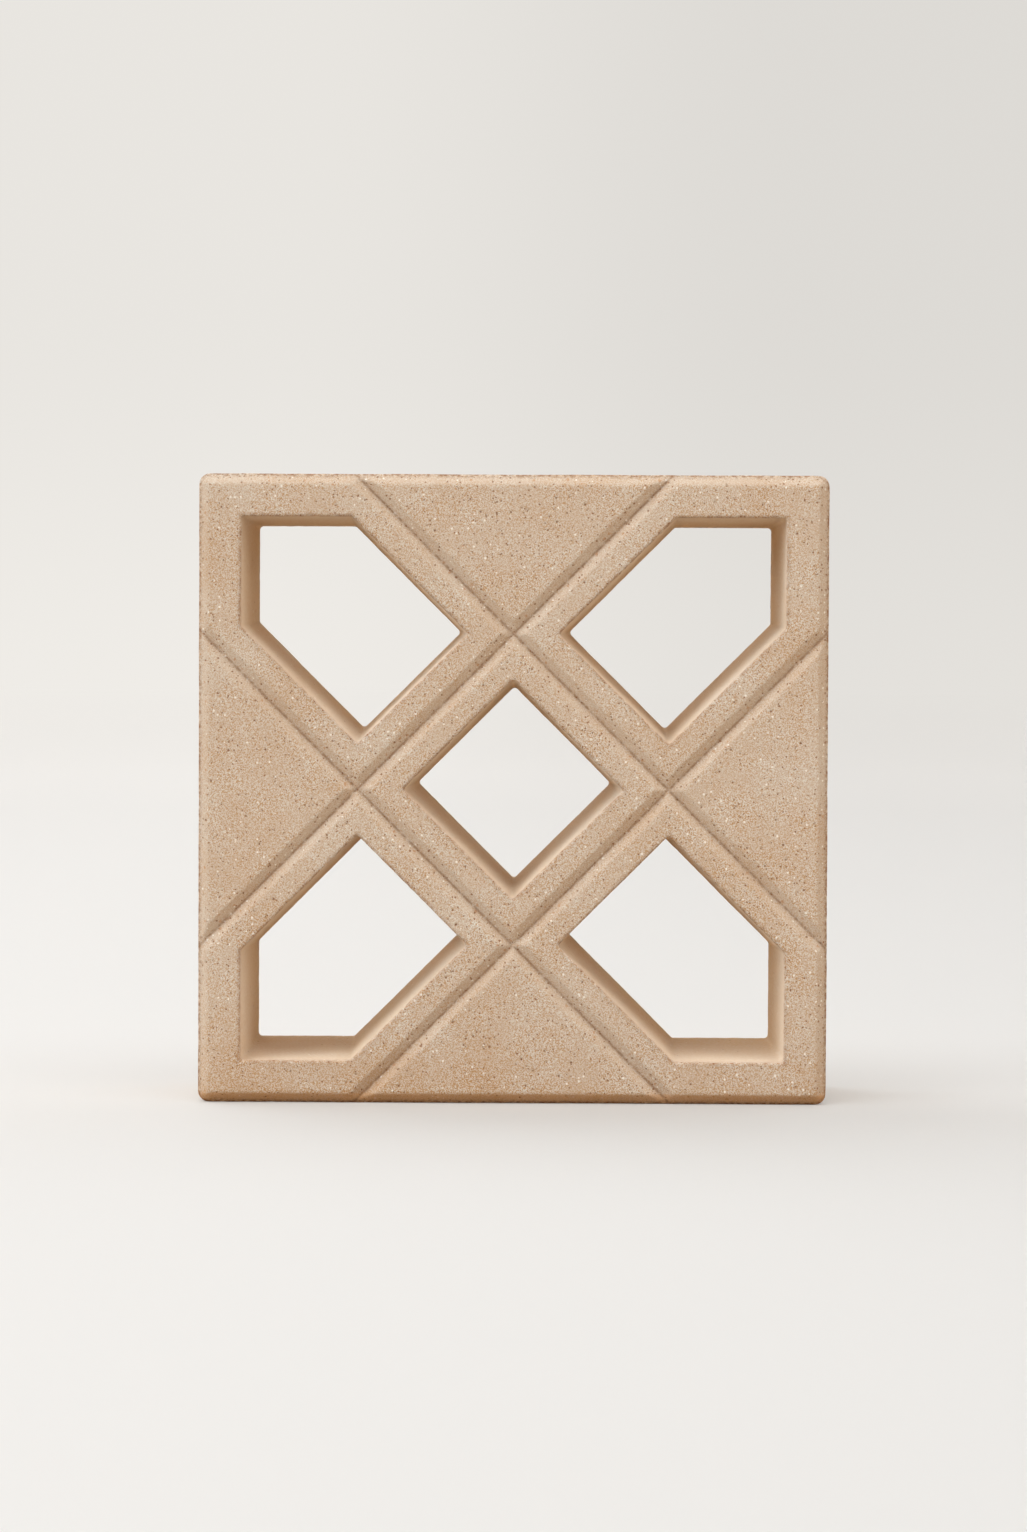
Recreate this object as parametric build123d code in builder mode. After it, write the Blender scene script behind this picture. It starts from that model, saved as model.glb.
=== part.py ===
"""Decorative concrete screen block, cast in one piece with a pierced diamond lattice.

The block stands on its lower edge face with the decorative face towards -Y.
Origin: middle of the underside. +Z is up and +X is to the right of a viewer facing the block.
"""

import os

from build123d import *

# Driving dimensions, in millimetres and degrees.
FACE_SIZE = 290.0  # height and width of the square block
DEPTH = 90.0  # decorative face to plain back
EDGE_RADIUS = 5.0  # rounding of the four edges that run front to back
FACE_BEVEL = 4.6  # bevel all round the decorative face
BACK_BEVEL = 1.5  # small arris all round the plain back
FRAME_WALL = 19.6  # outside of the block to an opening, on the face
STRUT_LINE = 50.7  # centre of the block to the groove along each strut
STRUT_WIDTH = 29.6  # width of a lattice strut, on the face
DRAFT = 2.2  # each opening narrows towards the back by this angle on every wall
CORE_RADIUS = 1.8  # rounding of an opening's long corners, left by the mould cores
RIM_RADIUS = 1.2  # rounding where an opening breaks through the face
BACK_RIM = 0.8  # small bevel where an opening breaks through the back
GROOVE_WIDTH = 8.2  # vee groove along each strut, across its mouth
GROOVE_DEPTH = 2.6
GROOVE_ROOT = 0.6  # rounding at the bottom of the vee
OVERCUT = 1.0  # how far the groove cutter stands proud of the face

# Sizes that follow from them.
HALF = FACE_SIZE / 2
CROSS_WIDTH = 2 * STRUT_LINE - STRUT_WIDTH  # opening between two parallel struts
WINDOW = FACE_SIZE - 2 * FRAME_WALL  # inside of the square frame
DIAGONAL = 1.5 * FACE_SIZE  # longer than any line across the face

# The decorative face: local X to the right, local Y up, normal out of the block.
FACE_PLANE = Plane(origin=(0, -DEPTH / 2, HALF), x_dir=(1, 0, 0), z_dir=(0, -1, 0))

# Openings on the face: a diagonal cross inside the square frame, with a strut across each arm.
# That leaves a diamond in the middle and a pentagon in each corner.
with BuildSketch(FACE_PLANE) as openings:
    for turn in (45, -45):
        Rectangle(DIAGONAL, CROSS_WIDTH, rotation=turn)
    Rectangle(WINDOW, WINDOW, mode=Mode.INTERSECT)
    with PolarLocations(STRUT_LINE, 4, start_angle=45):
        Rectangle(STRUT_WIDTH, CROSS_WIDTH, mode=Mode.SUBTRACT)

# Groove cutter: a vee section across local X, run along local Y, with its root rounded.
with BuildPart() as groove_cutter:
    with BuildSketch(Plane.XZ):
        reach = GROOVE_WIDTH / 2 * (1 + OVERCUT / GROOVE_DEPTH)
        with BuildLine():
            Polyline((-reach, OVERCUT), (0, -GROOVE_DEPTH), (reach, OVERCUT), close=True)
        make_face()
        fillet(vertices().sort_by(Axis.Y)[0], GROOVE_ROOT)
    extrude(amount=DIAGONAL / 2, both=True)

# The block: a square slab with a bevelled face, pierced and then scored by the grooves.
with BuildPart(FACE_PLANE) as screen_block:
    with BuildSketch(FACE_PLANE):
        RectangleRounded(FACE_SIZE, FACE_SIZE, EDGE_RADIUS)
    extrude(amount=-DEPTH)
    chamfer(faces().sort_by(Axis.Y)[0].edges(), FACE_BEVEL)
    chamfer(faces().sort_by(Axis.Y)[-1].edges(), BACK_BEVEL)

    extrude(openings.sketch, amount=-DEPTH, mode=Mode.SUBTRACT)
    walls = faces(Select.LAST).filter_by(Axis.Y, reverse=True)
    draft(walls, FACE_PLANE, DRAFT)
    long_corners = [edge for edge in edges(Select.LAST) if abs(edge.tangent_at(0.5).Y) > 0.9]
    fillet(long_corners, CORE_RADIUS)
    face_rims = [wire.edges() for wire in faces().sort_by(Axis.Y)[0].inner_wires()]
    fillet(face_rims, RIM_RADIUS)
    back_rims = [wire.edges() for wire in faces().sort_by(Axis.Y)[-1].inner_wires()]
    chamfer(back_rims, BACK_RIM)

    with PolarLocations(STRUT_LINE, 4, start_angle=45):
        add(groove_cutter.part, mode=Mode.SUBTRACT)

screen_block.part.label = "screen_block"

os.makedirs("parts", exist_ok=True)
export_step(screen_block.part, "parts/screen_block.step")
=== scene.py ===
"""Looks of a cast concrete screen block: its casting, finishes, floor, light and camera.

Metres throughout. The decorative face looks towards -Y and the block stands on z = 0.
Points on the block are worked out in the face's own coordinates: u to the right and v up from
the middle of the face, and d, the depth behind the face.
"""

import math
import random
from functools import partial

import bpy
import numpy as np
from mathutils import Euler, Matrix, Vector, kdtree, noise
from mathutils.geometry import delaunay_2d_cdt


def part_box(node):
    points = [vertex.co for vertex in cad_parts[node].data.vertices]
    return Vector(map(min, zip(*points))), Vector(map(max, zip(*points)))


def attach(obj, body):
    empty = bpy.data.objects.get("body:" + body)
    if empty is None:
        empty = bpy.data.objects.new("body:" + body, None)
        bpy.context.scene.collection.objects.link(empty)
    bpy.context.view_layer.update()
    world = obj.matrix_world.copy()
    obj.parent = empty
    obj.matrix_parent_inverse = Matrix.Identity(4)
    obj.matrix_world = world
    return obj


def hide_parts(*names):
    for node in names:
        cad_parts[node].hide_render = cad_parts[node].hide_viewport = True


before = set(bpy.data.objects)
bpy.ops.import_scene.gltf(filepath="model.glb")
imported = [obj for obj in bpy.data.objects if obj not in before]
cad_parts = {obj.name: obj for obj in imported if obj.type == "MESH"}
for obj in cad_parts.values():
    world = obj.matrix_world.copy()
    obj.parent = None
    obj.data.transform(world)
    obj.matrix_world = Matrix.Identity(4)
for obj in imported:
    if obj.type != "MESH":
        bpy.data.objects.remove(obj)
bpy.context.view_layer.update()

MM = 0.001
SQRT2 = math.sqrt(2)

# Size of the block, from the frame.
LOW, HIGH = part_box("screen_block")
HALF = (HIGH.x - LOW.x) / 2
DEPTH = HIGH.y - LOW.y
MID_HEIGHT = (LOW.z + HIGH.z) / 2

# Section of the block.
EDGE_RADIUS = 5.0 * MM  # four edges that run front to back
FACE_BEVEL = 4.6 * MM  # bevel round the decorative face
BACK_BEVEL = 1.5 * MM
WINDOW_HALF = HALF - 19.6 * MM  # inside of the square frame, on the face
STRUT_LINE = 50.7 * MM  # middle of the block to the groove along each strut
STRUT_HALF = 14.8 * MM
CROSS_HALF = STRUT_LINE - STRUT_HALF
DRAFT = math.tan(math.radians(2.2))  # the openings narrow towards the back
CORE_RADIUS = 1.8 * MM  # long corners of the openings
RIM_RADIUS = 1.2 * MM  # openings' rims on the face
BACK_RIM = 0.8 * MM
GROOVE_HALF = 4.1 * MM
GROOVE_DEPTH = 2.6 * MM

# Easing of its edges.
GROOVE_SHOULDER = 0.25 * MM  # where a groove meets the face
GROOVE_FOOT = 0.25 * MM  # at the bottom of a groove
BEVEL_SHOULDER = 0.5 * MM  # where the bevel meets the face
SIDE_EASE = 0.5 * MM  # where a bevel meets the sides
SIDE_FRONT_CUT = 0.15  # share of its easing that the sides' front edge loses
SIDE_BACK_CUT = 0.3
BACK_RIM_CUT = 0.25  # the same for the openings' back rims
CORNER_SHRINK = 0.6  # how much smaller the corners' radius gets as the outline moves in

# Fineness of the casting's mesh.
LOOP_STEP = 1.5 * MM  # along every outline
FACE_STEP = 1.2 * MM
BACK_STEP = 2.4 * MM
GRID_STRAY = 0.2  # how far a point of a grid may stray, as a share of the step
ARC_STEPS = 5
RIM_ROWS = 4
WALL_ROWS = 10
WALL_CROWDING = 1.2  # above 1, the rows crowd towards the face
SIDE_ROWS = 12
SIDE_CROWDING = 1.6
GROOVE_ROWS = (  # on both sides of a groove's bottom
    0.4 * MM,
    0.85 * MM,
    GROOVE_HALF - 0.75 * MM,
    GROOVE_HALF - 0.25 * MM,
    GROOVE_HALF + 0.25 * MM,
)
BEVEL_TOP_ROWS = (-0.4 * MM, 0.4 * MM)  # on both sides of the bevel's upper edge
BEVEL_TOP_RADIUS = 0.6 * MM
SAME_POINT = 1e-8  # points nearer than this are taken as one
WHOLE_HULL = 0  # asks the filling for every triangle out to the outer loop

# Room that the mesh's points leave each other.
POINT_GAP = 0.5 * MM
GRID_GAP = 0.6 * FACE_STEP
GROOVE_END_GAP = 1.2 * MM  # between a groove's rows and the block's outline
GROOVE_RIM_GAP = 2.0 * MM
BACK_POINT_GAP = 0.8 * MM
BACK_EDGE_GAP = 1.5 * MM
BACK_RIM_GAP = 1.0 * MM

# Open pores in the face and the back.
FACE_PORES = 620
FACE_PORE_RADII = (0.36 * MM, 0.68 * MM)
FACE_PORE_DEPTH = 0.5  # as a share of the pore's radius
FACE_PORE_GAP = RIM_RADIUS + 0.6 * MM  # from the openings and the outline
BACK_PORES = 260
BACK_PORE_RADII = (0.5 * MM, 1.4 * MM)
BACK_PORE_DEPTH = 0.8
BACK_PORE_GAP = 4.0 * MM
PORE_RINGS = ((1.0, 8, 0.0), (0.6, 6, 0.8), (0.0, 1, 1.0))  # size, points, depth
PORE_POINTS = sum(count for size, count, depth in PORE_RINGS)
PORE_STRETCH = (0.75, 1.3)
PORE_WOBBLE = (0.85, 1.15)
PORE_SMALLNESS = 3  # above 1, small pores are commoner than large ones
PORE_ROOM = 1.4  # radii kept clear of an edge
PORE_SPACING = 4  # radii of the largest pore between two of them

# Places where the surface is worn, smooth or darker low down, and where shade is painted.
FRONT_REACH = FACE_BEVEL + 1.5 * MM  # depth that takes in the face's edges
BACK_REACH = BACK_BEVEL + 1.0 * MM
BACK_WEAR = 0.35  # how worn the back's edges are beside the face's
ARRIS_PLACE = 0.3  # share of a rim's radius at which its arris lies
ARRIS_WIDTH = 1.1 * MM
# painted shade along the block's outer edge, where its rounding turns from the light; the same band
# sets where the outline chips
OUTLINE_WIDTH = 1.4 * MM
OUTLINE_FADE = 0.6 * MM
SLOPE_FADE = 1.0 * MM
# painted shade, with some dirt, along the grooves' bottoms, this wide
VALLEY_WIDTH = 0.7 * MM
WALL_CLEAR = 0.1 * MM  # nearer to an opening than this is its wall
# painted shade deep inside the openings starts at this depth and deepens over the next
RECESS_SHADE_START = 20 * MM
RECESS_SHADE_FADE = 50 * MM
# painted shade on the bottom bevel, which faces down, reaches this high
FOOT_SHADE_HEIGHT = FACE_BEVEL + 0.5 * MM
FOOT_SHADE_FADE = 1.0 * MM
BED_DARKENING_HEIGHT = 50 * MM
BED_DARKENING_FADE = 45 * MM

# Unevenness of the surface.
LUMPS = (  # height and size of a slow heave, a ripple and grit
    (0.12 * MM, 28 * MM),
    (0.07 * MM, 6 * MM),
    (0.06 * MM, 2.2 * MM),
)
NIBBLE_DEPTH = 0.25 * MM
NIBBLE_SIZE = 3.2 * MM
NIBBLE_RISE = 0.1  # edges are eaten away and hardly built up
NIBBLE_SEED = len(LUMPS) + 1
OUTLINE_CHIPS = 0.4  # how chipped the outline is beside the openings' rims
NOISE_SHIFT = (17.3, 5.1, 11.7)  # sets the kinds of unevenness apart

rng = random.Random(41)


# Outlines

def heading(start, end):
    """Unit direction from one point to another."""
    step = np.subtract(end, start)
    return step / np.hypot(*step)


def rounded_outline(corners, radius, side_steps):
    """Points counter-clockwise round a polygon whose corners are rounded."""
    count = len(corners)
    arcs = []
    for i, corner in enumerate(corners):
        inward = heading(corners[i - 1], corner)
        outward = heading(corner, corners[(i + 1) % count])
        turn = math.acos(np.clip(inward @ outward, -1, 1))
        start = corner - inward * radius * math.tan(turn / 2)
        centre = start + radius * np.array((-inward[1], inward[0]))
        first = math.atan2(start[1] - centre[1], start[0] - centre[0])
        angles = first + np.linspace(0, turn, ARC_STEPS + 1)
        arcs.append(centre + radius * np.column_stack((np.cos(angles), np.sin(angles))))
    points = []
    for i, arc in enumerate(arcs):
        points.extend(arc)
        end = arcs[(i + 1) % count][0]
        for step in range(1, side_steps[i]):
            points.append(arc[-1] + (end - arc[-1]) * step / side_steps[i])
    return np.array(points)


def steps_along(corners):
    """How many steps each side of a polygon takes."""
    ends = np.roll(corners, -1, axis=0)
    return [max(2, round(math.dist(a, b) / LOOP_STEP)) for a, b in zip(corners, ends)]


def block_corners(inset):
    """Corners of the block's square, moved in by inset."""
    reach = HALF - inset
    return np.array([(reach, reach), (-reach, reach), (-reach, -reach), (reach, -reach)])


def diamond_corners(grow):
    """Middle opening, with each wall moved outwards by grow."""
    tip = SQRT2 * (CROSS_HALF + grow)
    return np.array([(tip, 0), (0, tip), (-tip, 0), (0, -tip)])


def corner_opening_corners(grow, across, up):
    """Five-sided opening in one corner; across and up are its signs in u and v."""
    wall = WINDOW_HALF + grow
    cut = SQRT2 * (CROSS_HALF + grow)
    strut = SQRT2 * (STRUT_LINE + STRUT_HALF - grow)
    corners = np.array([
        (wall, wall),
        (wall - cut, wall),
        ((strut - cut) / 2, (strut + cut) / 2),
        ((strut + cut) / 2, (strut - cut) / 2),
        (wall, wall - cut),
    ]) * (across, up)
    return corners if across * up > 0 else corners[::-1]


OPENINGS = [diamond_corners]
for sign_u in (-1, 1):
    for sign_v in (-1, 1):
        OPENINGS.append(partial(corner_opening_corners, across=sign_u, up=sign_v))


# Distances on the face

def inside_outline(u, v):
    """Distance in from the block's rounded square outline."""
    qu = np.abs(u) - (HALF - EDGE_RADIUS)
    qv = np.abs(v) - (HALF - EDGE_RADIUS)
    corner = np.hypot(np.maximum(qu, 0), np.maximum(qv, 0))
    return EDGE_RADIUS - corner - np.minimum(np.maximum(qu, qv), 0)


def outside_openings(u, v):
    """Distance from the nearest opening's wall on the face; less than nothing inside one."""
    across, up = np.abs(u), np.abs(v)
    diamond = (across + up) / SQRT2 - CROSS_HALF
    corner = np.maximum.reduce([
        across - WINDOW_HALF,
        up - WINDOW_HALF,
        np.abs(across - up) / SQRT2 - CROSS_HALF,
        STRUT_LINE + STRUT_HALF - (across + up) / SQRT2,
    ])
    return np.minimum(diamond, corner)


def groove_distances(u, v):
    """Distances from the bottom lines of the nearest falling and the nearest rising groove."""
    falling = np.abs(np.abs(u + v) / SQRT2 - STRUT_LINE)
    rising = np.abs(np.abs(u - v) / SQRT2 - STRUT_LINE)
    return falling, rising


def soft_max(a, b, width):
    """The larger of two, eased over a width where they meet."""
    near = np.maximum(width - np.abs(a - b), 0) / width
    return np.maximum(a, b) + near * near * width / 4


def face_depth(u, v):
    """Depth of the decorative face: flat, scored by the grooves and bevelled at its edge."""
    grooves = []
    for distance in groove_distances(u, v):
        eased = np.sqrt(distance ** 2 + GROOVE_FOOT ** 2) - GROOVE_FOOT
        grooves.append(GROOVE_DEPTH * (1 - eased / GROOVE_HALF))
    bevel = FACE_BEVEL - inside_outline(u, v)
    depth = soft_max(np.zeros_like(u), np.maximum(*grooves), GROOVE_SHOULDER)
    return soft_max(depth, bevel, BEVEL_SHOULDER)


# The casting's mesh

class Casting:
    """Points, faces and finishes of the block while it is being built."""

    FACE, WALL, SIDE, BACK = range(4)  # places in the block's list of finishes

    def __init__(self):
        self.points = []
        self.pore = []
        self.faces = []
        self.finish = []

    def add_points(self, flat, depth, pore=None):
        """Adds points at places on the face and a depth behind it; gives their numbers."""
        first = len(self.points)
        depth = np.broadcast_to(depth, len(flat))
        self.points.extend(np.column_stack((flat, depth)))
        self.pore.extend(np.zeros(len(flat)) if pore is None else pore)
        return np.arange(first, first + len(flat))

    def add_strip(self, loops, finish, opening):
        """Joins loops of equal length into a wall that faces the opening, or outwards."""
        for near, far in zip(loops, loops[1:]):
            quads = np.column_stack((near, np.roll(near, -1), np.roll(far, -1), far))
            if not opening:
                quads = quads[:, ::-1]
            self.faces.extend(quads.tolist())
            self.finish.extend([finish] * len(quads))

    def add_sheet(self, outer, holes, loose, finish, towards_viewer):
        """Fills between an outer loop and the holes' loops, through the loose points."""
        loops = [outer, *holes]
        numbers = np.concatenate([*loops, loose])
        edges = []
        first = 0
        for loop in loops:
            ring = np.arange(first, first + len(loop))
            edges.extend(np.column_stack((ring, np.roll(ring, -1))).tolist())
            first += len(loop)
        flat = [Vector(self.points[n][:2]) for n in numbers]
        _, _, filled, origins, _, _ = delaunay_2d_cdt(flat, edges, [], WHOLE_HULL, SAME_POINT)
        source = numbers[[before[0] for before in origins]]
        triangles = source[np.array(filled)]
        ring_of = np.full(len(self.points), -1)
        for which, hole in enumerate(holes):
            ring_of[hole] = which
        rings = ring_of[triangles]
        in_hole = (rings[:, 0] >= 0) & (rings == rings[:, :1]).all(axis=1)
        triangles = triangles[~in_hole]
        if not towards_viewer:
            triangles = triangles[:, ::-1]
        self.faces.extend(triangles.tolist())
        self.finish.extend([finish] * len(triangles))


def pore_points(places, radii):
    """Rings of points round each pore, with how deep each lies as a share of the pore."""
    flat, share = [], []
    for place, radius in zip(places, radii):
        turn = rng.uniform(0, math.tau)
        stretch = rng.uniform(*PORE_STRETCH)
        for ring, count, deep in PORE_RINGS:
            for k in range(count):
                angle = turn + math.tau * k / count
                swing = ring * radius * rng.uniform(*PORE_WOBBLE)
                flat.append(place + swing * np.array((math.cos(angle) * stretch, math.sin(angle))))
                share.append(deep)
    return np.array(flat), np.array(share)


def scatter(count, gap, radius_range):
    """Places and radii of pores on the solid part of the square, not touching each other."""
    small, large = radius_range
    places, radii = [], []
    while len(places) < count:
        place = np.array((rng.uniform(-HALF, HALF), rng.uniform(-HALF, HALF)))
        radius = small + (large - small) * rng.random() ** PORE_SMALLNESS
        room = min(float(outside_openings(*place)), float(inside_outline(*place)))
        if room < gap + PORE_ROOM * radius:
            continue
        if places and np.hypot(*(np.array(places) - place).T).min() < PORE_SPACING * large:
            continue
        places.append(place)
        radii.append(radius)
    return places, radii


def hex_grid(step):
    """Triangular grid over the square, each point a little astray."""
    stray = GRID_STRAY * step
    rise = step * math.sqrt(3) / 2
    points = []
    for row in range(int(2 * HALF / rise) + 1):
        shift = step / 2 if row % 2 else 0.0
        for column in range(int(2 * HALF / step) + 1):
            points.append((
                -HALF + shift + column * step + rng.uniform(-stray, stray),
                -HALF + row * rise + rng.uniform(-stray, stray),
            ))
    return np.array(points)


def away_from(points, others, gap):
    """The points that keep a gap from all the others."""
    tree = kdtree.KDTree(len(others))
    for n, place in enumerate(others):
        tree.insert((*place, 0), n)
    tree.balance()
    keep = [tree.find((*place, 0))[2] > gap for place in points]
    return points[np.array(keep)]


def groove_lines():
    """Points along each groove's bottom and on both sides of its shoulders."""
    along = np.arange(-HALF * SQRT2, HALF * SQRT2, FACE_STEP)
    offsets = [0.0]
    for row in GROOVE_ROWS:
        offsets += [row, -row]
    points = []
    for offset in offsets:
        for side in (STRUT_LINE + offset, -STRUT_LINE - offset):
            points.append(np.column_stack((side + along, side - along)) / SQRT2)
            points.append(np.column_stack((side + along, along - side)) / SQRT2)
    return np.concatenate(points)


def bevel_top_lines():
    """Points along both sides of the bevel's upper edge."""
    steps = steps_along(block_corners(0))
    lines = []
    for row in BEVEL_TOP_ROWS:
        lines.append(rounded_outline(block_corners(FACE_BEVEL + row), BEVEL_TOP_RADIUS, steps))
    return np.concatenate(lines)


def opening_rows():
    """How far out and how deep each loop of an opening lies: rim, drafted wall, eased back rim."""
    rows = []
    for k in range(RIM_ROWS + 1):
        angle = math.pi / 2 * k / RIM_ROWS
        rows.append((RIM_RADIUS * (1 - math.sin(angle)), RIM_RADIUS * (1 - math.cos(angle))))
    for k in range(1, WALL_ROWS + 1):
        depth = RIM_RADIUS + (DEPTH - BACK_RIM - RIM_RADIUS) * (k / WALL_ROWS) ** WALL_CROWDING
        rows.append((-DRAFT * depth, depth))
    rows.append((-DRAFT * DEPTH + BACK_RIM_CUT * BACK_RIM, DEPTH - BACK_RIM_CUT * BACK_RIM))
    rows.append((-DRAFT * DEPTH + BACK_RIM, DEPTH))
    return rows


def add_opening(casting, corners):
    """Walls of one opening; gives its loops on the face and on the back."""
    steps = steps_along(corners(0))
    loops = []
    for grow, depth in opening_rows():
        outline = rounded_outline(corners(grow), CORE_RADIUS, steps)
        loops.append(casting.add_points(outline, depth))
    casting.add_strip(loops[:RIM_ROWS + 1], Casting.FACE, opening=True)
    casting.add_strip(loops[RIM_ROWS:-2], Casting.WALL, opening=True)
    casting.add_strip(loops[-3:], Casting.BACK, opening=True)
    return loops[0], loops[-1]


def side_rows():
    """How far in and how deep each loop of the sides lies: bevel's lower edge, side, back bevel."""
    flat_start = FACE_BEVEL + SIDE_EASE
    flat_end = DEPTH - BACK_BEVEL - SIDE_EASE
    rows = [
        (SIDE_EASE, FACE_BEVEL - SIDE_EASE),
        (SIDE_FRONT_CUT * SIDE_EASE, FACE_BEVEL),
        (0, flat_start),
    ]
    for k in range(1, SIDE_ROWS + 1):
        rows.append((0, flat_start + (flat_end - flat_start) * (k / SIDE_ROWS) ** SIDE_CROWDING))
    rows += [
        (SIDE_BACK_CUT * SIDE_EASE, flat_end + SIDE_EASE),
        (BACK_BEVEL, DEPTH - SIDE_BACK_CUT * SIDE_EASE),
        (BACK_BEVEL + SIDE_EASE, DEPTH),
    ]
    return rows


def add_sides(casting):
    """The block's outer sides; gives their loops on the face and on the back."""
    steps = steps_along(block_corners(0))
    loops = []
    for inset, depth in side_rows():
        outline = rounded_outline(block_corners(inset), EDGE_RADIUS - CORNER_SHRINK * inset, steps)
        loops.append(casting.add_points(outline, depth))
    casting.add_strip(loops[:3], Casting.FACE, opening=False)
    casting.add_strip(loops[2:-3], Casting.SIDE, opening=False)
    casting.add_strip(loops[-4:], Casting.BACK, opening=False)
    return loops[0], loops[-1]


def fill_face(casting, rim, holes):
    """Decorative face: pores, rows along the grooves and the bevel, and a grid between them."""
    places, radii = scatter(FACE_PORES, FACE_PORE_GAP, FACE_PORE_RADII)
    pores, share = pore_points(places, radii)
    pore_depth = share * np.repeat(radii, PORE_POINTS) * FACE_PORE_DEPTH
    lines = groove_lines()
    lines = lines[inside_outline(*lines.T) > GROOVE_END_GAP]
    lines = lines[outside_openings(*lines.T) > GROOVE_RIM_GAP]
    lines = away_from(lines, pores, POINT_GAP)
    bevel_top = away_from(bevel_top_lines(), np.concatenate((pores, lines)), POINT_GAP)
    grid = hex_grid(FACE_STEP)
    grid = grid[inside_outline(*grid.T) > SIDE_EASE + POINT_GAP]
    grid = grid[outside_openings(*grid.T) > RIM_RADIUS + POINT_GAP]
    grid = away_from(grid, np.concatenate((pores, lines, bevel_top)), GRID_GAP)
    plain = np.concatenate((lines, bevel_top, grid))
    loose = [
        casting.add_points(pores, face_depth(*pores.T) + pore_depth, share),
        casting.add_points(plain, face_depth(*plain.T)),
    ]
    casting.add_sheet(rim, holes, np.concatenate(loose), Casting.FACE, towards_viewer=True)


def fill_back(casting, rim, holes):
    """Plain back with larger pores."""
    places, radii = scatter(BACK_PORES, BACK_PORE_GAP, BACK_PORE_RADII)
    pores, share = pore_points(places, radii)
    pore_depth = share * np.repeat(radii, PORE_POINTS) * BACK_PORE_DEPTH
    grid = hex_grid(BACK_STEP)
    grid = grid[inside_outline(*grid.T) > BACK_BEVEL + BACK_EDGE_GAP]
    grid = grid[outside_openings(*grid.T) > BACK_RIM - DRAFT * DEPTH + BACK_RIM_GAP]
    grid = away_from(grid, pores, BACK_POINT_GAP)
    loose = [
        casting.add_points(pores, DEPTH - pore_depth, share),
        casting.add_points(grid, DEPTH),
    ]
    casting.add_sheet(rim, holes, np.concatenate(loose), Casting.BACK, towards_viewer=False)


def build_casting():
    casting = Casting()
    holes = [add_opening(casting, corners) for corners in OPENINGS]
    face_holes, back_holes = zip(*holes)
    face_rim, back_rim = add_sides(casting)
    fill_face(casting, face_rim, face_holes)
    fill_back(casting, back_rim, back_holes)
    return casting


def edge_wear(d):
    """How worn edges at a depth are: the face's wholly, the back's less, none between."""
    return np.where(d < FRONT_REACH, 1.0, np.where(d > DEPTH - BACK_REACH, BACK_WEAR, 0.0))


def surface_masks(u, v, d):
    """Nearness, 0 to 1, to each place where the surface looks different."""
    front = d < FRONT_REACH
    ends = front | (d > DEPTH - BACK_REACH)
    inset = inside_outline(u, v)
    clear = outside_openings(u, v)
    groove = np.minimum(*groove_distances(u, v))
    above_bed = v + HALF
    face_arris = clear - ARRIS_PLACE * RIM_RADIUS
    back_arris = clear - ARRIS_PLACE * BACK_RIM + DRAFT * DEPTH
    arris = edge_wear(d) * np.exp(-(np.where(front, face_arris, back_arris) / ARRIS_WIDTH) ** 2)
    # painted shade along the outer edge; the chipping of the outline uses this nearness too
    outline = np.clip((OUTLINE_WIDTH - inset) / OUTLINE_FADE, 0, 1)
    off_slope = np.minimum(inset - FACE_BEVEL, groove - GROOVE_HALF)
    slope = np.clip(0.5 - off_slope / SLOPE_FADE, 0, 1)
    # painted shade, with some dirt, along the grooves' bottoms
    valley = np.exp(-(groove / VALLEY_WIDTH) ** 2)
    # painted shade on the openings' walls, deeper inside
    inside = np.clip((d - RECESS_SHADE_START) / RECESS_SHADE_FADE, 0, 1)
    # painted shade on the downward-facing bottom bevel
    foot = np.clip((FOOT_SHADE_HEIGHT - above_bed) / FOOT_SHADE_FADE, 0, 1)
    return {
        "arris": arris,
        "outline": np.where(ends, outline, 0),
        "slope": np.where(front, slope, 0),
        "valley": np.where(front, valley, 0),
        "inside": np.where(clear < WALL_CLEAR, inside, 0),
        "foot": np.where(front, foot, 0),
        "near_bed": np.clip((BED_DARKENING_HEIGHT - above_bed) / BED_DARKENING_FADE, 0, 1),
    }


def uneven(points, size, seed):
    """Smooth noise between -1 and 1 at each point; size is that of its lumps."""
    shift = Vector([seed * part for part in NOISE_SHIFT])
    return np.array([noise.noise(Vector(p) / size + shift) for p in points])


def roughness(places, chips):
    """How far each point stands out from the true surface: lumps all over and nibbled edges."""
    lumps = [height * uneven(places, size, seed) for seed, (height, size) in enumerate(LUMPS, 1)]
    bites = np.minimum(uneven(places, NIBBLE_SIZE, NIBBLE_SEED), NIBBLE_RISE)
    return sum(lumps) + NIBBLE_DEPTH * bites * chips


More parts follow.
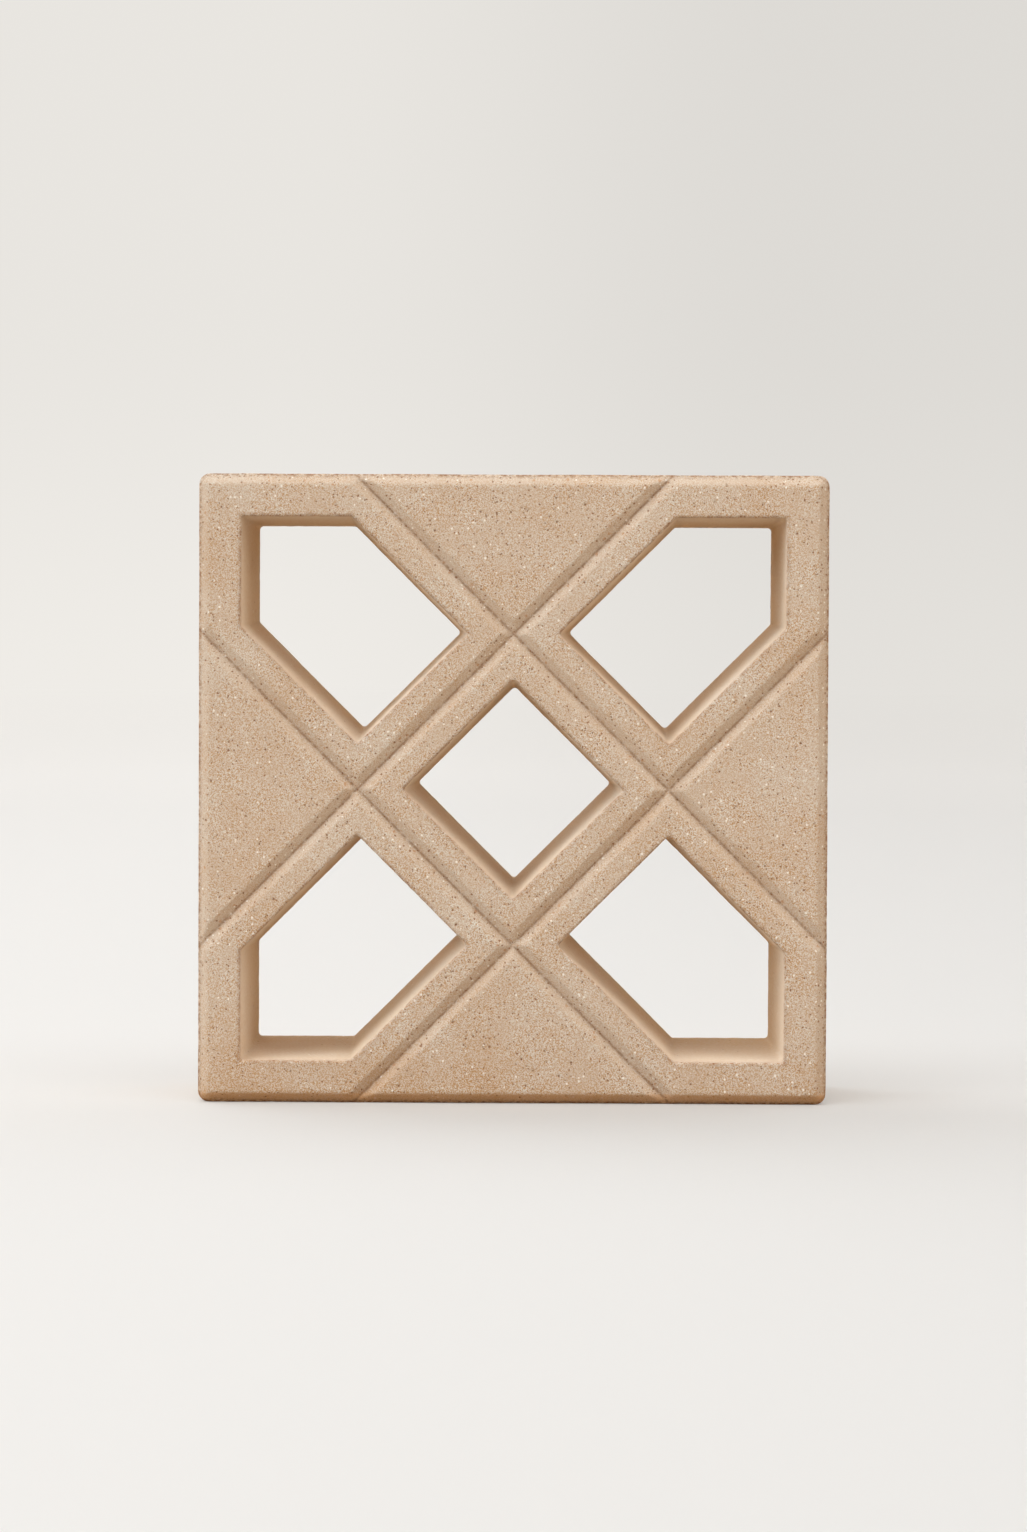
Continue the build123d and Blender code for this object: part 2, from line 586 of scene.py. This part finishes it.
def make_block(finishes):
    """The casting as one closed mesh, roughened along its surface."""
    casting = build_casting()
    u, v, d = np.array(casting.points).T
    places = np.column_stack((u, LOW.y + d, MID_HEIGHT + v))

    mesh = bpy.data.meshes.new("cast_block")
    mesh.from_pydata(places.tolist(), [], casting.faces)
    mesh.update()
    normals = np.empty(len(places) * 3)
    mesh.vertex_normals.foreach_get("vector", normals)
    normals = normals.reshape(-1, 3)

    masks = surface_masks(u, v, d)
    chips = np.maximum(masks["arris"], OUTLINE_CHIPS * edge_wear(d) * masks["outline"])
    places = places + normals * roughness(places, chips)[:, None]
    places[:, 2] = np.maximum(places[:, 2], LOW.z)
    mesh.vertices.foreach_set("co", places.ravel())

    for name, values in {"pore": casting.pore, **masks}.items():
        layer = mesh.attributes.new(name, "FLOAT", "POINT")
        layer.data.foreach_set("value", np.asarray(values, dtype=np.float32))
    for finish in finishes:
        mesh.materials.append(finish)
    mesh.polygons.foreach_set("material_index", casting.finish)
    mesh.polygons.foreach_set("use_smooth", [True] * len(mesh.polygons))
    mesh.update()

    block = bpy.data.objects.new("cast_block", mesh)
    bpy.context.collection.objects.link(block)
    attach(block, "root")
    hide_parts("screen_block")
    return block


# Shader helpers

MIX_SHARE, MIX_BELOW, MIX_ABOVE, MIX_COLOUR = 0, 6, 7, 2  # colour sockets of a Mix node


def paint(red, green, blue):
    """A colour as it is seen on a screen, 0 to 255, as linear light."""
    parts = []
    for part in (red, green, blue):
        share = part / 255
        parts.append(share / 12.92 if share <= 0.04045 else ((share + 0.055) / 1.055) ** 2.4)
    return (*parts, 1.0)


def add_node(tree, kind, inputs=(), **settings):
    """A node with its settings; an input takes a value or another node's output."""
    made = tree.nodes.new(kind)
    for name, value in settings.items():
        setattr(made, name, value)
    for name, value in dict(inputs).items():
        if isinstance(value, bpy.types.NodeSocket):
            tree.links.new(value, made.inputs[name])
        else:
            made.inputs[name].default_value = value
    return made


def arithmetic(tree, operation, first, second):
    return add_node(tree, "ShaderNodeMath", {0: first, 1: second}, operation=operation).outputs[0]


def plus(tree, first, second):
    return arithmetic(tree, "ADD", first, second)


def minus(tree, first, second):
    return arithmetic(tree, "SUBTRACT", first, second)


def times(tree, first, second):
    return arithmetic(tree, "MULTIPLY", first, second)


def one_over(tree, value):
    return arithmetic(tree, "DIVIDE", 1.0, value)


def ramp(tree, value, start, end, low=0.0, shape="LINEAR"):
    """Rises from low to 1 while the value goes from start to end, and stays level beyond."""
    span = {"Value": value, "From Min": start, "From Max": end, "To Min": low, "To Max": 1.0}
    return add_node(tree, "ShaderNodeMapRange", span, interpolation_type=shape).outputs["Result"]


def blend_colour(tree, share, below, above):
    """One colour laid over another."""
    sockets = {MIX_SHARE: share, MIX_BELOW: below, MIX_ABOVE: above}
    return add_node(tree, "ShaderNodeMix", sockets, data_type="RGBA").outputs[MIX_COLOUR]


def scale_colour(tree, colour, factor):
    sockets = {0: colour, "Scale": factor}
    return add_node(tree, "ShaderNodeVectorMath", sockets, operation="SCALE").outputs[0]


def new_group(name, inputs, outputs):
    """An empty shader group with named sockets; gives it with its two end nodes."""
    group = bpy.data.node_groups.new(name, "ShaderNodeTree")
    for label, kind, value in inputs:
        socket = group.interface.new_socket(label, in_out="INPUT", socket_type=kind)
        if value is not None:
            socket.default_value = value
    for label, kind in outputs:
        group.interface.new_socket(label, in_out="OUTPUT", socket_type=kind)
    return group, group.nodes.new("NodeGroupInput"), group.nodes.new("NodeGroupOutput")


# Effects that the finishes share

GRAIN_TURN = (0.5, 0.8, 0.4)  # sets the grain askew to the block's edges
MAZE_START, MAZE_END = 0.32, 0.68  # where the flecks turn from dark to light
FINE_SCALE = 1.9  # finer grains to one fleck
FLECK_PART, FINE_PART, GRAIN_PART = 0.55, 0.3, 0.15  # of the flecks, finer grain and single grains
SPECK_WOBBLE = 3.0  # bumps along a speck's edge
SPECK_RAGGED = 0.25
SPECK_SMALLEST = 0.3  # as a share of the largest
SPECK_CORE = 0.5  # share of a speck's radius that is fully covered
CLOUD_START, CLOUD_END = 0.3, 0.7
BREAK_START, BREAK_END = 0.85, 1.15


def sand_grain_group():
    """Sand in the surface: a fine maze of light and dark flecks over finer grain, and its height."""
    group, given, result = new_group(
        "sand_grain",
        [("Position", "NodeSocketVector", None), ("Grain size", "NodeSocketFloat", 0.5 * MM)],
        [("Shade", "NodeSocketFloat"), ("Height", "NodeSocketFloat")],
    )
    turned = add_node(group, "ShaderNodeVectorRotate", {
        "Vector": given.outputs["Position"], "Rotation": GRAIN_TURN}, rotation_type="EULER_XYZ")
    place = turned.outputs["Vector"]
    scale = one_over(group, given.outputs["Grain size"])
    curls = add_node(group, "ShaderNodeTexNoise", {
        "Vector": place, "Scale": scale, "Detail": 0.0, "Distortion": 0.1})
    maze = ramp(group, curls.outputs["Fac"], MAZE_START, MAZE_END)
    fine = add_node(group, "ShaderNodeTexNoise", {
        "Vector": place, "Scale": times(group, scale, FINE_SCALE), "Detail": 1.0})
    cells = add_node(group, "ShaderNodeTexVoronoi", {"Vector": place, "Scale": scale})
    draw = add_node(group, "ShaderNodeSeparateColor", {"Color": cells.outputs["Color"]})
    shade = times(group, maze, FLECK_PART)
    shade = plus(group, shade, times(group, fine.outputs["Fac"], FINE_PART))
    shade = plus(group, shade, times(group, draw.outputs["Red"], GRAIN_PART))
    group.links.new(shade, result.inputs["Shade"])
    group.links.new(shade, result.inputs["Height"])
    return group


def speck_group():
    """Scattered round specks: some cells of a given spacing hold one, of uneven size."""
    group, given, result = new_group(
        "specks",
        [("Position", "NodeSocketVector", None), ("Spacing", "NodeSocketFloat", 3 * MM),
         ("Share", "NodeSocketFloat", 0.4), ("Size", "NodeSocketFloat", 0.3)],
        [("Mask", "NodeSocketFloat")],
    )
    place = given.outputs["Position"]
    scale = one_over(group, given.outputs["Spacing"])
    cells = add_node(group, "ShaderNodeTexVoronoi", {"Vector": place, "Scale": scale})
    draw = add_node(group, "ShaderNodeSeparateColor", {"Color": cells.outputs["Color"]})
    present = arithmetic(group, "LESS_THAN", draw.outputs["Red"], given.outputs["Share"])
    wobble = add_node(group, "ShaderNodeTexNoise", {
        "Vector": place, "Scale": times(group, scale, SPECK_WOBBLE)})
    wave = times(group, minus(group, wobble.outputs["Fac"], 0.5), SPECK_RAGGED)
    ragged = plus(group, cells.outputs["Distance"], wave)
    size = plus(group, times(group, draw.outputs["Green"], 1 - SPECK_SMALLEST), SPECK_SMALLEST)
    radius = times(group, given.outputs["Size"], size)
    core = times(group, radius, SPECK_CORE)
    mask = times(group, ramp(group, ragged, radius, core, shape="SMOOTHSTEP"), present)
    group.links.new(mask, result.inputs["Mask"])
    return group


def tone_drift_group():
    """Slow cloudy drift of tone over the casting."""
    group, given, result = new_group(
        "tone_drift",
        [("Position", "NodeSocketVector", None), ("Patch size", "NodeSocketFloat", 50 * MM)],
        [("Drift", "NodeSocketFloat")],
    )
    cloud = add_node(group, "ShaderNodeTexNoise", {
        "Vector": given.outputs["Position"], "Scale": one_over(group, given.outputs["Patch size"]),
        "Detail": 4.0, "Roughness": 0.55})
    drift = ramp(group, cloud.outputs["Fac"], CLOUD_START, CLOUD_END)
    group.links.new(drift, result.inputs["Drift"])
    return group


def broken_line_group():
    """A line along an edge, broken up unevenly, from how near the edge the surface is."""
    group, given, result = new_group(
        "broken_line",
        [("Position", "NodeSocketVector", None), ("Nearness", "NodeSocketFloat", 0.0),
         ("Break size", "NodeSocketFloat", 2.5 * MM), ("Cover", "NodeSocketFloat", 0.5),
         ("Amount", "NodeSocketFloat", 0.5)],
        [("Mask", "NodeSocketFloat")],
    )
    breaks = add_node(group, "ShaderNodeTexNoise", {
        "Vector": given.outputs["Position"], "Scale": one_over(group, given.outputs["Break size"]),
        "Detail": 3.0})
    covered = plus(group, breaks.outputs["Fac"], given.outputs["Cover"])
    line = times(group, given.outputs["Nearness"], ramp(group, covered, BREAK_START, BREAK_END))
    line = times(group, line, given.outputs["Amount"])
    group.links.new(line, result.inputs["Mask"])
    return group


EFFECTS = {
    "grain": sand_grain_group(),
    "specks": speck_group(),
    "drift": tone_drift_group(),
    "line": broken_line_group(),
}

# Finishes of the concrete

SAND_CREAM = paint(233, 227, 215)
SAND_BROWN = paint(195, 149, 98)
CORE_CREAM = paint(233, 220, 205)
CORE_BROWN = paint(215, 183, 143)
# painted shade in the pores' pits
PORE_SHADE_BROWN = paint(148, 98, 60)
RUST_GRAIN = paint(194, 131, 73)
PALE_GRAIN = paint(248, 240, 229)
EDGE_BROWN = paint(150, 100, 60)
# painted shade of the downward-facing bottom bevel
FOOT_SHADE_BROWN = paint(212, 160, 105)
# painted shade along the outer edge
OUTLINE_SHADE_BROWN = paint(142, 92, 50)
# painted shade, with some dirt, in the grooves' bottoms
VALLEY_SHADE_BROWN = paint(146, 104, 69)

TONE_PATCH = 45 * MM
TONE_RANGE = 0.2  # share of the way from brown to cream that the tone drifts
SWIRL_PATCH = 15 * MM
SWIRL_RANGE = 0.7  # how much stronger the grain shows where the sand has swirled
SLOPE_CALM = 0.4  # how much weaker the grain shows on the moulded slopes
BED_DARKENING = 0.12  # how much nearer brown the block is just above its bed
RECESS_SHADE_SHIFT = 0.38  # painted shade: how much nearer brown the openings' walls are deep inside

PORE_CELL, PORE_SIZE = 2.2 * MM, 0.31  # spacing, and largest radius as a share of it
PALE_CELL, PALE_SIZE = 2.6 * MM, 0.27
RUST_CELL, RUST_SIZE = 3.2 * MM, 0.32
PALE_SHIFT = (0.37, 0.11, 0.23)  # sets the pale grains apart from the pores
RUST_SHIFT = (0.19, 0.43, 0.31)
RUST_COVER = 0.5
PORE_SHADE_COVER = 0.85
FOOT_SHADE_COVER = 0.6
OPEN_PORE_SHADE_COVER = 0.9

SHEEN = 0.2
CHALKINESS = 0.5


def concrete(name, cream, brown, grain_size, contrast, pore_share, pale_share, relief, rough,
             recess_shade_shift=0.0):
    """Cast concrete in one finish.

    Sand grain between brown and cream, in a tone that drifts, turns browner low down and turns
    browner deep inside the openings as painted shade; rusty and pale grains, worn arrises, and
    painted shade in the pores, on the bottom bevel, along the outer edge and, with some dirt,
    along the grooves' bottoms. The shares are those of the specks' cells that hold one.
    """
    material = bpy.data.materials.new(name)
    material.use_nodes = True
    tree = material.node_tree
    shader = tree.nodes["Principled BSDF"]
    place = add_node(tree, "ShaderNodeTexCoord").outputs["Object"]
    pale_place = add_node(tree, "ShaderNodeVectorMath", {0: place, 1: PALE_SHIFT}).outputs[0]
    rust_place = add_node(tree, "ShaderNodeVectorMath", {0: place, 1: RUST_SHIFT}).outputs[0]

    def effect(key, **values):
        sockets = {"Position": place}
        sockets.update({label.replace("_", " "): value for label, value in values.items()})
        return add_node(tree, "ShaderNodeGroup", sockets, node_tree=EFFECTS[key]).outputs

    def specks(where, share, cell, size):
        return effect("specks", Position=where, Share=share, Spacing=cell, Size=size)["Mask"]

    def nearness(label):
        return add_node(tree, "ShaderNodeAttribute", attribute_name=label).outputs["Fac"]

    def line(label, **values):
        return effect("line", Nearness=nearness(label), **values)["Mask"]

    drift = effect("drift", Patch_size=TONE_PATCH)["Drift"]
    swirl = effect("drift", Position=rust_place, Patch_size=SWIRL_PATCH)["Drift"]
    grain = effect("grain", Grain_size=grain_size)
    pores = specks(place, pore_share, PORE_CELL, PORE_SIZE)
    pale = specks(pale_place, pale_share, PALE_CELL, PALE_SIZE)
    rust = specks(rust_place, pale_share, RUST_CELL, RUST_SIZE)

    calm = minus(tree, 1.0, times(tree, nearness("slope"), SLOPE_CALM))
    strength = plus(tree, times(tree, swirl, SWIRL_RANGE), 1 - SWIRL_RANGE / 2)
    swing = times(tree, minus(tree, grain["Shade"], 0.5), contrast)
    swing = times(tree, times(tree, swing, strength), calm)
    level = plus(tree, swing, times(tree, drift, TONE_RANGE))
    level = plus(tree, level, 0.5 - TONE_RANGE / 2)
    # painted shade: the openings' walls turn browner deep inside
    level = minus(tree, level, times(tree, nearness("inside"), recess_shade_shift))
    # darker towards the bed
    level = minus(tree, level, times(tree, nearness("near_bed"), BED_DARKENING))
    colour = blend_colour(tree, level, brown, cream)
    for cover, tone in (
        (times(tree, rust, RUST_COVER), RUST_GRAIN),
        (pale, PALE_GRAIN),
        # painted shade in the small pores
        (times(tree, pores, PORE_SHADE_COVER), PORE_SHADE_BROWN),
        # painted shade on the bottom bevel
        (times(tree, nearness("foot"), FOOT_SHADE_COVER), FOOT_SHADE_BROWN),
        (line("arris", Break_size=2.5 * MM, Amount=0.5), EDGE_BROWN),
        # painted shade along the outer edge
        (line("outline", Break_size=1.6 * MM, Amount=0.85), OUTLINE_SHADE_BROWN),
        # painted shade, with some dirt, along the grooves' bottoms
        (line("valley", Break_size=2.2 * MM, Cover=0.6, Amount=0.7), VALLEY_SHADE_BROWN),
        # painted shade at the bottoms of the mesh's open pores, by their depth
        (times(tree, nearness("pore"), OPEN_PORE_SHADE_COVER), PORE_SHADE_BROWN),
    ):
        colour = blend_colour(tree, cover, colour, tone)
    tree.links.new(colour, shader.inputs["Base Color"])

    height = minus(tree, grain["Height"], pores)
    bump = add_node(tree, "ShaderNodeBump", {"Height": height, "Distance": relief, "Strength": 1.0})
    tree.links.new(bump.outputs["Normal"], shader.inputs["Normal"])
    shader.inputs["Roughness"].default_value = rough
    shader.inputs["Specular IOR Level"].default_value = SHEEN
    shader.inputs["Diffuse Roughness"].default_value = CHALKINESS
    return material


def cast_face():
    return concrete(
        "cast_face", SAND_CREAM, SAND_BROWN, grain_size=0.55 * MM, contrast=1.1,
        pore_share=0.65, pale_share=0.38, relief=0.10 * MM, rough=0.92)


def cored_wall():
    return concrete(
        "cored_wall", CORE_CREAM, CORE_BROWN, grain_size=1.2 * MM, contrast=0.4,
        pore_share=0.03, pale_share=0.03, relief=0.05 * MM, rough=0.85, recess_shade_shift=RECESS_SHADE_SHIFT)


def mortar_side():
    return concrete(
        "mortar_side", SAND_CREAM, SAND_BROWN, grain_size=0.85 * MM, contrast=0.9,
        pore_share=0.45, pale_share=0.14, relief=0.2 * MM, rough=0.95)


def struck_back():
    return concrete(
        "struck_back", SAND_CREAM, SAND_BROWN, grain_size=1.0 * MM, contrast=1.1,
        pore_share=0.25, pale_share=0.12, relief=0.15 * MM, rough=0.93)


# Studio

PALE_FLOOR = paint(242, 242, 241)
PALE_HORIZON = paint(234, 231, 226)
PALE_BACKDROP = paint(227, 224, 219)
SOFT_BOUNCE = paint(199, 185, 167)  # the floor's tone in the light that it throws back
FLOOR_GLOW = 0.3  # share of the floor that shows its own tone; the rest takes the block's shadow
GLOW_HEIGHT = 0.1  # from here up the backdrop shows its own tone alone
HORIZON_HEIGHT = 0.7  # from here up it has the backdrop's darker tone, painted shade
PAINTED_RIGHT_SHADE = 0.11  # painted shade: how much darker the right of the floor and backdrop is
FADE_REACH = 0.45  # to the left and right of the block
PAINTED_FAR_SHADE = 0.085  # painted shade: how much darker the floor is far behind the block
FAR_START, FAR_END = 0.3, 3.0
FLOOR_FLAT = 4.0  # radius of the flat part of the floor
FLOOR_RISE = 2.0  # radius of the sweep up into the backdrop
RISE_STEPS = 12
FLOOR_SPOKES = 96
BACKDROP_HEIGHT = 4.0


def floor_mesh():
    """Round floor that sweeps up into a backdrop all the way round."""
    profile = [(FLOOR_FLAT / 2, 0.0), (FLOOR_FLAT, 0.0)]
    for k in range(1, RISE_STEPS + 1):
        angle = math.pi / 2 * k / RISE_STEPS
        profile.append((FLOOR_FLAT + FLOOR_RISE * math.sin(angle), FLOOR_RISE * (1 - math.cos(angle))))
    profile.append((FLOOR_FLAT + FLOOR_RISE, BACKDROP_HEIGHT))
    points, faces = [(0, 0, 0)], []
    for radius, height in profile:
        for k in range(FLOOR_SPOKES):
            angle = math.tau * k / FLOOR_SPOKES
            points.append((radius * math.cos(angle), radius * math.sin(angle), height))
    for k in range(FLOOR_SPOKES):
        after = (k + 1) % FLOOR_SPOKES
        faces.append((0, 1 + k, 1 + after))
        for ring in range(len(profile) - 1):
            low = 1 + ring * FLOOR_SPOKES
            high = low + FLOOR_SPOKES
            faces.append((low + k, high + k, high + after, low + after))
    mesh = bpy.data.meshes.new("floor")
    mesh.from_pydata(points, [], faces)
    mesh.polygons.foreach_set("use_smooth", [True] * len(mesh.polygons))
    return mesh


def pale_floor():
    """Pale floor and backdrop, with painted shade, to the camera; a darker, warmer floor in the light
    it throws back.
    """
    material = bpy.data.materials.new("pale_floor")
    material.use_nodes = True
    tree = material.node_tree
    tree.nodes.remove(tree.nodes["Principled BSDF"])
    spot = add_node(tree, "ShaderNodeTexCoord").outputs["Object"]
    place = add_node(tree, "ShaderNodeSeparateXYZ", {0: spot}).outputs
    rightward = ramp(tree, place["X"], -FADE_REACH, FADE_REACH, shape="SMOOTHSTEP")
    backward = ramp(tree, place["Y"], FAR_START, FAR_END)
    upward = ramp(tree, place["Z"], 0.0, HORIZON_HEIGHT, shape="SMOOTHSTEP")
    glow = ramp(tree, place["Z"], 0.0, GLOW_HEIGHT, low=FLOOR_GLOW)
    # painted shade: the floor and backdrop darken to the right, and the floor far behind the block
    fade = minus(tree, 1 + PAINTED_RIGHT_SHADE / 2, times(tree, rightward, PAINTED_RIGHT_SHADE))
    far_fade = minus(tree, fade, times(tree, backward, PAINTED_FAR_SHADE))
    # painted shade: the backdrop darkens upwards from the horizon
    tone = blend_colour(tree, upward, PALE_HORIZON, PALE_BACKDROP)
    shaded = add_node(tree, "ShaderNodeBsdfDiffuse", {
        "Color": scale_colour(tree, PALE_FLOOR[:3], far_fade)})
    plain = add_node(tree, "ShaderNodeEmission", {"Color": scale_colour(tree, tone, fade)})
    seen = add_node(tree, "ShaderNodeMixShader", {0: glow, 1: shaded.outputs[0], 2: plain.outputs[0]})
    bounced = add_node(tree, "ShaderNodeBsdfDiffuse", {"Color": SOFT_BOUNCE})
    to_camera = add_node(tree, "ShaderNodeLightPath").outputs["Is Camera Ray"]
    both = add_node(tree, "ShaderNodeMixShader", {
        0: to_camera, 1: bounced.outputs[0], 2: seen.outputs[0]})
    tree.links.new(both.outputs[0], tree.nodes["Material Output"].inputs["Surface"])
    return material


def make_floor():
    mesh = floor_mesh()
    mesh.materials.append(pale_floor())
    floor = bpy.data.objects.new("floor", mesh)
    floor.visible_shadow = False
    bpy.context.collection.objects.link(floor)


PLAIN_LIGHT = (1.0, 1.0, 1.0)
COOL_DAYLIGHT = (0.77, 0.885, 1.0)  # evens out the floor's warm bounce on the face
WIDE, LESS_WIDE = 60, 40  # how broad a light looks from the block, in degrees


def add_sun(name, azimuth, elevation, strength, softness, tint=PLAIN_LIGHT):
    """Distant soft light; azimuth 0 shines from the viewer's side, positive from the right."""
    lamp = bpy.data.lights.new(name, "SUN")
    lamp.energy = strength * math.pi
    lamp.color = tint
    lamp.angle = math.radians(softness)
    lamp.cycles.use_multiple_importance_sampling = False  # with it, these render darker than their sum
    sun = bpy.data.objects.new(name, lamp)
    a, e = math.radians(azimuth), math.radians(elevation)
    towards = Vector((math.sin(a) * math.cos(e), -math.cos(a) * math.cos(e), math.sin(e)))
    sun.rotation_mode = "QUATERNION"
    sun.rotation_quaternion = towards.to_track_quat("Z", "Y")
    bpy.context.collection.objects.link(sun)
    return sun


def make_light(block):
    """Soft light from both sides, above and behind; the windows at the sides light the block only."""
    lit = bpy.data.collections.new("window_light")
    lit.objects.link(block)
    left = add_sun("left_window", -60, 30, strength=0.72, softness=WIDE, tint=COOL_DAYLIGHT)
    right = add_sun("right_window", 60, 30, strength=0.295, softness=WIDE)
    for window in (left, right):
        window.light_linking.receiver_collection = lit
    add_sun("overhead_left", -45, 60, strength=0.31, softness=LESS_WIDE)
    add_sun("overhead_right", 45, 60, strength=0.2, softness=LESS_WIDE)
    add_sun("left_back", -140, 45, strength=0.44, softness=WIDE)
    add_sun("right_back", 140, 45, strength=0.21, softness=WIDE)
    world = bpy.data.worlds.new("studio")
    world.use_nodes = True
    world.node_tree.nodes["Background"].inputs["Strength"].default_value = 0.0
    bpy.context.scene.world = world


# Camera, set from where the block stands in a picture of 1027 by 1532 pixels.
PICTURE_HEIGHT = 1532
SENSOR = 36.0
FOCAL_PIXELS = 4834
CAMERA_DISTANCE = 2.222  # to the decorative face
CAMERA_RISE = 0.0894  # above the middle of the block
CAMERA_SHIFT = 0.0169  # to the right of the middle of the block
CAMERA_PITCH = 2.02  # degrees down
CAMERA_YAW = 0.43  # degrees to the left
CAMERA_ROLL = 0.25  # degrees


def make_camera():
    lens = bpy.data.cameras.new("camera")
    lens.sensor_width = SENSOR
    lens.lens = SENSOR * FOCAL_PIXELS / PICTURE_HEIGHT
    camera = bpy.data.objects.new("camera", lens)
    camera.location = (CAMERA_SHIFT, LOW.y - CAMERA_DISTANCE, MID_HEIGHT + CAMERA_RISE)
    aim = Euler((math.radians(90 - CAMERA_PITCH), 0, math.radians(CAMERA_YAW))).to_matrix()
    camera.rotation_euler = (aim @ Matrix.Rotation(math.radians(CAMERA_ROLL), 3, "Z")).to_euler()
    bpy.context.collection.objects.link(camera)
    bpy.context.scene.camera = camera


cast_block = make_block([cast_face(), cored_wall(), mortar_side(), struck_back()])
make_floor()
make_light(cast_block)
make_camera()
bpy.context.scene.view_settings.view_transform = "Standard"
